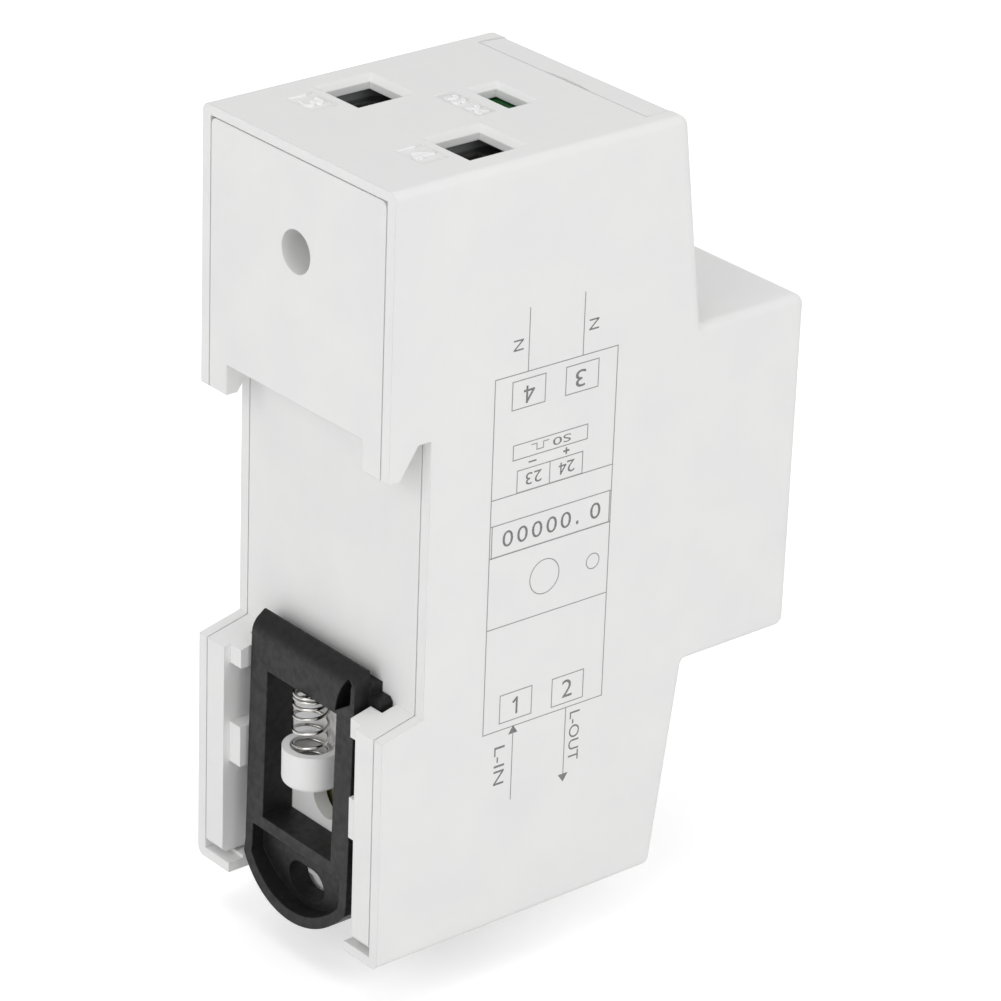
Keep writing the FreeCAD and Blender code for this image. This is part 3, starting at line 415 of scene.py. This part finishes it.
def text_shape(text, boldness):
    """A text as a flat solid mesh one unit thick."""
    curve = bpy.data.curves.new("text_shape", "FONT")
    curve.body = text
    curve.extrude = 0.5
    curve.resolution_u = 4
    curve.offset = boldness
    holder = bpy.data.objects.new("text_shape", curve)
    bpy.context.scene.collection.objects.link(holder)
    bpy.context.view_layer.update()
    mesh = bpy.data.meshes.new_from_object(
        holder.evaluated_get(bpy.context.evaluated_depsgraph_get()))
    bpy.data.objects.remove(holder)
    return mesh


def put_text(builder, text, plane, place, height, width=None, turn=0.0,
             thickness=ink_thickness, boldness=-0.002):
    """Add a text, fitted to a height and a width about a place."""
    mesh = text_shape(text, boldness)
    xs = [v.co.x for v in mesh.vertices]
    ys = [v.co.y for v in mesh.vertices]
    scale_y = height * MM / (max(ys) - min(ys))
    scale_x = scale_y if width is None else width * MM / (max(xs) - min(xs))
    centred = Matrix.Translation((-(max(xs) + min(xs)) / 2, -(max(ys) + min(ys)) / 2, 0))
    sized = Matrix.Diagonal((scale_x, scale_y, thickness * MM, 1))
    turned = Matrix.Rotation(math.radians(turn), 4, "Z")
    shift = Matrix.Translation((place[0] * MM, place[1] * MM, 0))
    mesh.transform(plane @ shift @ turned @ sized @ centred)
    builder.from_mesh(mesh)
    bpy.data.meshes.remove(mesh)


def put_stroke(builder, plane, start, end, width, thickness=ink_thickness):
    """Add a straight line with square ends."""
    # Each line is a hair thicker than the last, so that the tops of lines that cross don't coincide
    hair = 0.0015
    hairs = 7
    faces_per_line = 6
    thickness += hair * (len(builder.faces) // faces_per_line % hairs)
    first = Vector((start[0], start[1], 0)) * MM
    last = Vector((end[0], end[1], 0)) * MM
    along = last - first
    turn = Matrix.Rotation(math.atan2(along.y, along.x), 4, "Z")
    size = Matrix.Diagonal((along.length + width * MM, width * MM, thickness * MM, 1))
    middle = Matrix.Translation((first + last) / 2)
    bmesh.ops.create_cube(builder, size=1.0, matrix=plane @ middle @ turn @ size)


def put_box(builder, plane, left, right, low, high, width):
    """Add a printed rectangle."""
    put_stroke(builder, plane, (left, low), (right, low), width)
    put_stroke(builder, plane, (left, high), (right, high), width)
    put_stroke(builder, plane, (left, low), (left, high), width)
    put_stroke(builder, plane, (right, low), (right, high), width)


def put_four(builder, plane, place, height, turn=0.0, thickness=ink_thickness, weight=0.13):
    """Add a figure four of plain strokes, which the font would close up; turn is 0 or 180."""
    heavy = height * weight
    width = height * 0.62
    stem_x = width * 0.24
    bar_y = -height * 0.22
    way = -1 if turn else 1
    strokes = [
        ((stem_x, -height / 2 + heavy / 2), (stem_x, height / 2 - heavy / 2)),
        ((stem_x, height / 2 - heavy / 2), (-width / 2, bar_y)),
        ((-width / 2, bar_y), (width / 2, bar_y)),
    ]
    for start, end in strokes:
        put_stroke(builder, plane, (place[0] + way * start[0], place[1] + way * start[1]),
                   (place[0] + way * end[0], place[1] + way * end[1]), heavy, thickness)


def put_one(builder, plane, place, height, thickness=ink_thickness, weight=0.13):
    """Add a figure one of plain strokes with its flag, which the font leaves out."""
    heavy = height * weight
    stem_x = place[0] + height * 0.08
    stem_low = place[1] - height / 2 + heavy / 2
    stem_high = place[1] + height / 2 - heavy / 2
    flag_width = height * 0.22
    flag_drop = height * 0.17
    flag_end = (stem_x - flag_width, stem_high - flag_drop)
    put_stroke(builder, plane, (stem_x, stem_low), (stem_x, stem_high), heavy, thickness)
    put_stroke(builder, plane, flag_end, (stem_x, stem_high), heavy, thickness)


def put_ring(builder, plane, centre, radius, width, thickness=ink_thickness):
    """Add a printed circle."""
    inner = (radius - width / 2) * MM
    outer = (radius + width / 2) * MM
    half = thickness / 2 * MM
    earlier = set(builder.verts)
    corners = [builder.verts.new((x, 0, z))
               for x, z in ((inner, -half), (outer, -half), (outer, half), (inner, half))]
    edges = [builder.edges.new((corners[i - 1], corners[i])) for i in range(4)]
    bmesh.ops.spin(builder, geom=corners + edges, cent=(0, 0, 0), axis=(0, 0, 1),
                   angle=2 * math.pi, steps=64, use_merge=True)
    ring = [v for v in builder.verts if v not in earlier]
    shift = Matrix.Translation((centre[0] * MM, centre[1] * MM, 0))
    bmesh.ops.transform(builder, matrix=plane @ shift, verts=ring)


def put_arrow(builder, plane, base, tip, width, thickness=ink_thickness):
    """Add a solid printed arrowhead that points up or down."""
    # A prism of three sides and radius 1 points along its second axis, from -0.5 to 1
    way = 1 if tip[1] > base[1] else -1
    height = abs(tip[1] - base[1])
    size = Matrix.Diagonal((width * MM / math.sqrt(3), way * height * MM / 1.5, thickness * MM, 1))
    foot = Matrix.Translation((base[0] * MM, base[1] * MM, 0))
    bmesh.ops.create_cone(builder, cap_ends=True, segments=3, radius1=1.0, radius2=1.0, depth=1.0,
                          matrix=plane @ foot @ size @ Matrix.Translation((0, 0.5, 0)))


def side_plane():
    """The left side seen from outside: first axis to the front, second axis up, ink on the wall."""
    ink_middle = side_x - ink_thickness / 2 * MM
    return Matrix(((0, 0, -1, ink_middle), (-1, 0, 0, 0), (0, 1, 0, 0), (0, 0, 0, 1)))


def end_plane(level, facing):
    """The top or bottom face: first axis to the reader's right, second axis to the front."""
    return Matrix(((-facing, 0, 0, 0), (0, -1, 0, 0), (0, 0, facing, level), (0, 0, 0, 1)))


# The printed front view's outline on the left side, as the reader sees it, from the part's origin
view_left, view_right, view_low, view_high = 9.3, 28.0, -22.9, 23.5
register_low, register_high = 0.55, 4.7


def print_outline(lines, plane):
    """The front view's outline with the steps of its nose and the register's heavier lower line."""
    put_box(lines, plane, view_left, view_right, view_low, view_high, line_width)
    for level in (8.1, register_high, register_low, -8.9):
        put_stroke(lines, plane, (view_left, level), (view_right, level), line_width)
    put_stroke(lines, plane, (view_left + 0.3, register_low), (view_right, register_low),
               line_width * 1.4)


def print_terminals(lines, words, plane):
    """The supply terminals 4 and 3 with their wires at the top, and terminals 1 and 2 at the bottom."""
    wire_top = 31.5
    for wire_x, letter_x in ((14.2, 12.6), (22.55, 24.1)):
        put_stroke(lines, plane, (wire_x, view_high), (wire_x, wire_top), line_width)
        put_text(words, "N", plane, (letter_x, 27.15), 1.5, turn=90)
    put_box(lines, plane, 11.95, 16.95, 19.0, 22.6, line_width)
    put_box(lines, plane, 20.1, 25.1, 18.95, 22.55, line_width)
    put_four(words, plane, (14.5, 20.6), 2.2, turn=180)
    put_text(words, "3", plane, (22.35, 20.65), 2.2, 1.55, turn=180)
    put_box(lines, plane, 11.8, 16.75, -22.0, -18.25, line_width)
    put_box(lines, plane, 19.95, 24.9, -22.2, -18.4, line_width)
    put_one(words, plane, (14.25, -20.2), 2.27)
    put_text(words, "2", plane, (22.35, -20.25), 2.35, 1.6)


def print_pulse_output(lines, words, plane):
    """The pulse output: its plate with a square wave, its two signs and its two numbered terminals."""
    put_box(lines, plane, 12.4, 23.8, 12.5, 14.4, line_width)
    wave = [(15.2, 13.9), (16.0, 13.9), (16.0, 13.1), (17.0, 13.1), (17.0, 13.9), (17.8, 13.9)]
    for start, end in zip(wave, wave[1:]):
        put_stroke(lines, plane, start, end, line_width)
    put_text(words, "S0", plane, (19.85, 13.4), 1.0, 2.75, turn=180)
    minus_width, plus_width = 0.2, 0.24
    put_stroke(words, plane, (14.9, 11.75), (15.9, 11.75), minus_width)
    put_stroke(words, plane, (20.25, 11.75), (20.95, 11.75), plus_width)
    put_stroke(words, plane, (20.6, 11.45), (20.6, 12.05), plus_width)
    plate_middle, plate_low, plate_high = 18.15, 8.15, 11.0
    put_box(lines, plane, 13.15, 23.2, plate_low, plate_high, line_width)
    put_stroke(lines, plane, (plate_middle, plate_low), (plate_middle, plate_high), line_width)
    number_row, number_height = 9.6, 1.55
    put_text(words, "23", plane, (15.7, number_row), number_height, 2.45, turn=180)
    put_text(words, "2", plane, (21.4, number_row), number_height, 1.2, turn=180)
    put_four(words, plane, (20.1, number_row), number_height, turn=180)


def print_nose(lines, words, plane):
    """The register with its figures, the round button and the lamp."""
    for edge in (view_left + 0.3, view_right - 0.2):
        put_stroke(lines, plane, (edge, register_low), (edge, register_high), line_width)
    for figure_x in (12.05, 14.3, 16.55, 18.8, 21.0, 25.6):
        put_text(words, "0", plane, (figure_x, 2.6), 2.1, 1.6)
    put_stroke(words, plane, (22.8, 1.75), (22.8, 1.85), 0.35)
    put_ring(lines, plane, (18.0, -4.0), 2.26, line_width)
    put_ring(lines, plane, (25.55, -4.05), 1.0, line_width)


def print_conductors(lines, words, plane):
    """The line conductors, one with an arrow into the meter and one with an arrow out of it."""
    # Wire, its start, the arrow's foot, tip and width, and the label with its place and width
    conductors = [
        (14.0, -32.9, -23.9, -22.8, 1.45, "L-IN", (12.0, -27.7), 5.2),
        (22.3, -23.0, -32.0, -33.1, 1.55, "L-OUT", (23.8, -27.2), 6.8),
    ]
    label_height = 1.6
    for x, start, foot, tip, arrow_width, label, label_place, label_width in conductors:
        put_stroke(lines, plane, (x, start), (x, foot), line_width)
        put_arrow(words, plane, (x, foot), (x, tip), arrow_width)
        put_text(words, label, plane, label_place, label_height, label_width, turn=-90)


def side_diagram():
    """The wiring diagram printed on the left side."""
    # The pad put the print down a little askew: its level lines drop towards the front
    drop, level_at = 0.012, 13.3
    askew = Matrix(((1, 0, 0, 0), (-drop, 1, 0, drop * level_at * MM), (0, 0, 1, 0), (0, 0, 0, 1)))
    plane = side_plane() @ askew
    lines = bmesh.new()
    words = bmesh.new()
    print_outline(lines, plane)
    print_terminals(lines, words, plane)
    print_pulse_output(lines, words, plane)
    print_nose(lines, words, plane)
    print_conductors(lines, words, plane)
    finish_piece("side_print_lines", lines, line_ink, "housing")
    finish_piece("side_print_words", words, text_ink, "housing")


def moulded_numbers():
    """Raised terminal numbers that stand in the sunk plates of the top and the bottom, and painted
    highlight strokes along the upper plates' far lips.
    """
    raised = 0.25
    level = top_z - raised / 2 * MM
    slim_text = {"thickness": raised, "boldness": -0.008}
    slim_strokes = {"thickness": raised, "weight": 0.09}
    main_row, main_height, main_width = 4.1, 2.9, 2.0
    pulse_row, pulse_height = 18.4, 1.9
    upper = bmesh.new()
    plane = end_plane(level, 1)
    put_text(upper, "3", plane, (-10.6, main_row), main_height, main_width, **slim_text)
    put_four(upper, plane, (9.8, main_row), main_height, **slim_strokes)
    put_text(upper, "23", plane, (-1.8, pulse_row), pulse_height, 2.4, **slim_text)
    put_text(upper, "2", plane, (1.6, pulse_row), pulse_height, 1.2, **slim_text)
    put_four(upper, plane, (3.05, pulse_row), pulse_height, **slim_strokes)
    # Thin white strokes on the plates' rounded far lips are a painted highlight where the lips catch
    # the light
    lip_highlight_width = 0.14
    for lip_x, lip_start, lip_end in ((-13.05, 2.2, 5.0), (7.35, 2.2, 5.0), (-4.0, 17.1, 18.9)):
        put_stroke(upper, plane, (lip_x, lip_start), (lip_x, lip_end), lip_highlight_width, raised)
    finish_piece("upper_terminal_numbers", upper, numbers_painted_highlight_white, "housing")
    lower = bmesh.new()
    plane = end_plane(-level, -1)
    put_one(lower, plane, (-9.8, main_row), main_height, **slim_strokes)
    put_text(lower, "2", plane, (10.6, main_row), main_height, main_width, **slim_text)
    finish_piece("lower_terminal_numbers", lower, numbers_painted_highlight_white, "housing")


def display_segments():
    """Digits of seven bars that rest faintly visible in the glass, with a decimal point."""
    digits = 6
    pitch = 4.1
    height = 6.0
    width = 3.0
    half = width / 2
    bar = 0.55
    bar_end = 0.3
    bar_thickness = 0.02
    stand_off = 0.01 * MM
    middle_z = (glass_low.z + glass_high.z) / 2
    plane = Matrix(((1, 0, 0, 0), (0, 0, -1, glass_low.y - stand_off), (0, 1, 0, middle_z),
                    (0, 0, 0, 1)))
    builder = bmesh.new()
    for i in range(digits):
        x = (i - (digits - 1) / 2) * pitch
        bars = []
        for level in (-height / 2, 0, height / 2):
            bars.append(((x - half + bar_end, level), (x + half - bar_end, level)))
        for side in (-half, half):
            for foot in (-height / 2, 0):
                bars.append(((x + side, foot + bar_end), (x + side, foot + height / 2 - bar_end)))
        for start, end in bars:
            put_stroke(builder, plane, start, end, bar, bar_thickness)
    # The point rests on the lower bar of the fifth digit
    point_x = 1.5 * pitch
    put_stroke(builder, plane, (point_x, -height / 2), (point_x + 0.1, -height / 2), bar, bar_thickness)
    finish_piece("lcd_segments", builder, segment_grey, "housing")


# Studio: surround, floor, lamps and camera
def either_ray(tree, first_kind, second_kind):
    """1 for a ray of one of these two kinds, and 0 for any other."""
    path = add_node(tree, "ShaderNodeLightPath").outputs
    return add_node(tree, "ShaderNodeMath", {0: path[first_kind], 1: path[second_kind]},
                    operation="MAXIMUM").outputs[0]


def white_surround():
    """A world that the camera sees as white and that lights the meter with half of that."""
    light_strength = 0.5
    seen_strength = 1.0
    world = bpy.data.worlds.new("studio_white")
    bpy.context.scene.world = world
    tree = empty_tree(world)
    seen = either_ray(tree, "Is Camera Ray", "Is Transmission Ray")
    lighting = add_node(tree, "ShaderNodeBackground",
                        {"Color": (1, 1, 1, 1), "Strength": light_strength})
    backdrop = add_node(tree, "ShaderNodeBackground",
                        {"Color": (1, 1, 1, 1), "Strength": seen_strength})
    both = add_node(tree, "ShaderNodeMixShader",
                    {0: seen, 1: lighting.outputs[0], 2: backdrop.outputs[0]})
    add_node(tree, "ShaderNodeOutputWorld", {"Surface": both.outputs[0]})


def pale_floor():
    """A pale painted floor that keeps the meter's soft shadow and blends into the surround."""
    half_side = 6.0
    paint_grey = (0.8, 0.8, 0.8, 1)
    lift_strength = 0.42
    builder = bmesh.new()
    bmesh.ops.create_grid(builder, x_segments=1, y_segments=1, size=half_side,
                          matrix=Matrix.Translation((0, 0, floor_z)))
    mesh = bpy.data.meshes.new("studio_floor")
    builder.to_mesh(mesh)
    builder.free()
    floor = bpy.data.objects.new("studio_floor", mesh)
    bpy.context.scene.collection.objects.link(floor)
    material = bpy.data.materials.new("pale_floor")
    tree = empty_tree(material)
    # Only the camera and reflections see the paint lifted towards white
    seen = either_ray(tree, "Is Camera Ray", "Is Glossy Ray")
    paint = add_node(tree, "ShaderNodeBsdfDiffuse", {"Color": paint_grey})
    lift = add_node(tree, "ShaderNodeEmission", {"Color": (1, 1, 1, 1), "Strength": lift_strength})
    lifted = add_node(tree, "ShaderNodeAddShader", {0: paint.outputs[0], 1: lift.outputs[0]})
    shown = add_node(tree, "ShaderNodeMixShader",
                     {0: seen, 1: paint.outputs[0], 2: lifted.outputs[0]})
    # Seen from below the floor is clear, so the underside can be looked at
    below = add_node(tree, "ShaderNodeNewGeometry").outputs["Backfacing"]
    clear = add_node(tree, "ShaderNodeBsdfTransparent")
    one_sided = add_node(tree, "ShaderNodeMixShader",
                         {0: below, 1: shown.outputs[0], 2: clear.outputs[0]})
    add_node(tree, "ShaderNodeOutputMaterial", {"Surface": one_sided.outputs[0]})
    mesh.materials.append(material)


def soft_lamps():
    """Plain soft lamps round the meter, each aimed at its middle."""
    # Name, place and side length in metres, and power in watts
    lamps = [
        ("rear_softbox", (-0.25, 0.75, 0.35), 0.7, 2.8),
        ("side_softbox", (-0.8, -0.1, 0.3), 0.7, 2.35),
        ("top_softbox", (0.1, 0.1, 0.9), 0.6, 1.75),
        ("front_softbox", (0.3, -0.85, 0.2), 0.6, 2.0),
        ("glint_lamp", (-0.15, 0.8, 0.5), 0.14, 0.4),
    ]
    for name, place, size, power in lamps:
        lamp = bpy.data.lights.new(name, "AREA")
        lamp.size = size
        lamp.energy = power
        holder = bpy.data.objects.new(name, lamp)
        holder.location = place
        holder.rotation_euler = (-Vector(place)).to_track_quat("-Z", "Y").to_euler()
        bpy.context.scene.collection.objects.link(holder)


def photo_camera():
    """The camera at the photograph's place, solved from the housing's corners."""
    right = Vector((-0.63757621, -0.76965859, 0.03349958))
    down = Vector((-0.34906843, 0.24985332, -0.90317471))
    forward = Vector((0.68676619, -0.58753635, -0.42796405))
    place = Vector((-0.393167, 0.310248, 0.241692))
    focal_pixels = 4683.26
    photo_pixels = 1001
    data = bpy.data.cameras.new("photo_camera")
    data.sensor_width = 36.0
    data.lens = focal_pixels / photo_pixels * data.sensor_width
    data.clip_start = 0.01
    data.clip_end = 20.0
    camera = bpy.data.objects.new("photo_camera", data)
    turn = Matrix((right, -down, -forward)).transposed().to_4x4()
    camera.matrix_world = Matrix.Translation(place) @ turn
    bpy.context.scene.collection.objects.link(camera)
    bpy.context.scene.camera = camera


catch_spring()
side_diagram()
moulded_numbers()
display_segments()
white_surround()
pale_floor()
soft_lamps()
photo_camera()
bpy.context.scene.view_settings.view_transform = "Standard"
